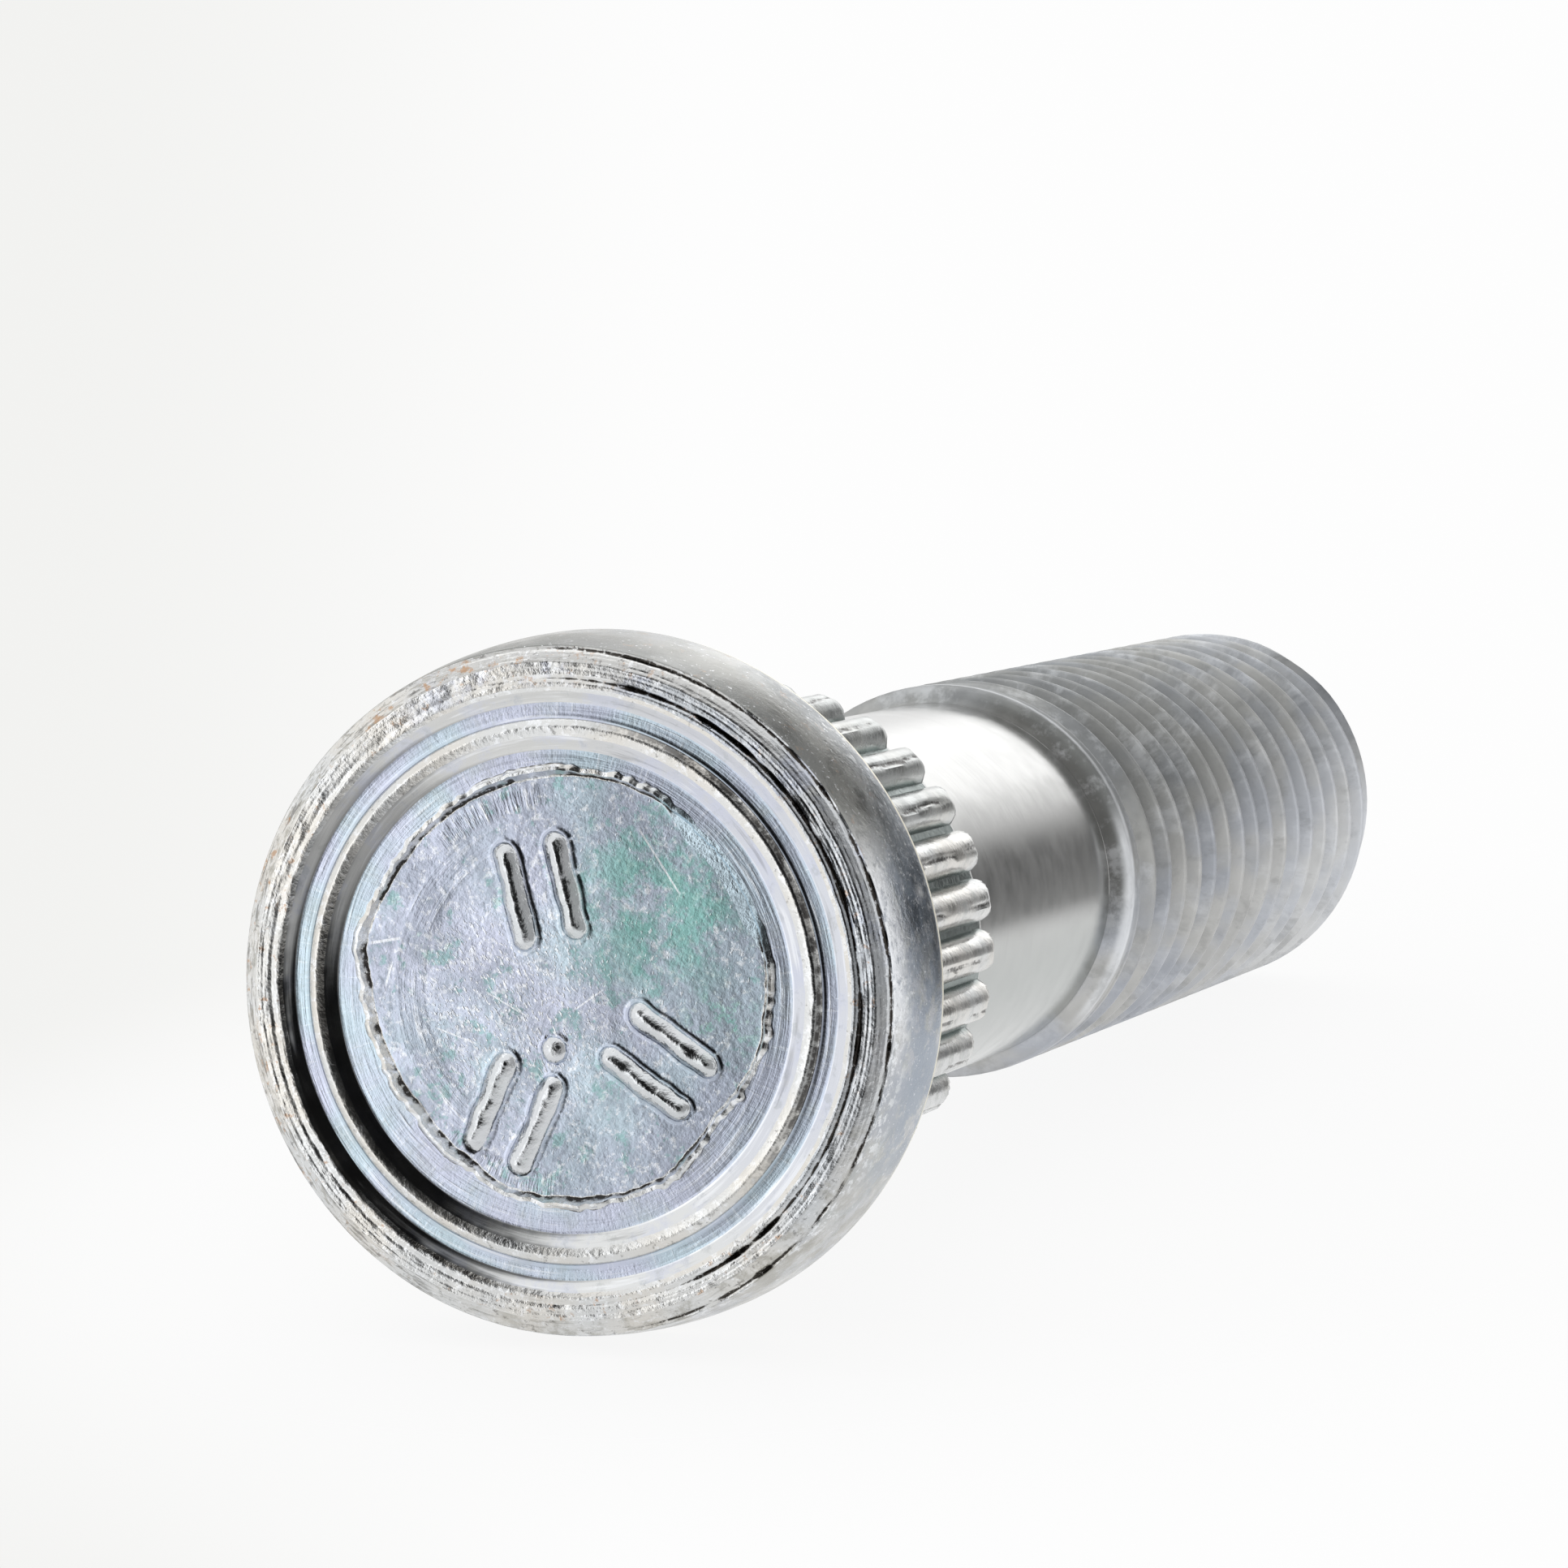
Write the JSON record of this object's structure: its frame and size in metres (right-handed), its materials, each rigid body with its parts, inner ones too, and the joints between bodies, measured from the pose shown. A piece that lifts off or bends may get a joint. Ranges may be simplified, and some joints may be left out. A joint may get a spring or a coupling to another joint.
{
  "type": "wheel stud",
  "caption": "Press-in wheel stud: forged zinc-plated steel with a stepped round head, a serrated neck, a plain shank and a threaded end for a wheel nut.",
  "frame": {"origin": "centre of the head face that the stud stands on", "axes": "+Z along the stud's axis, from the head to the threaded tip"},
  "size_m": [0.0182, 0.0182, 0.0635],
  "materials": {
    "zinc_plated_steel": "bright zinc plating with a faint lilac and blue-green tint"
  },
  "bodies": {
    "root": {"wheel_stud": "zinc_plated_steel"}
  },
  "joints": []
}
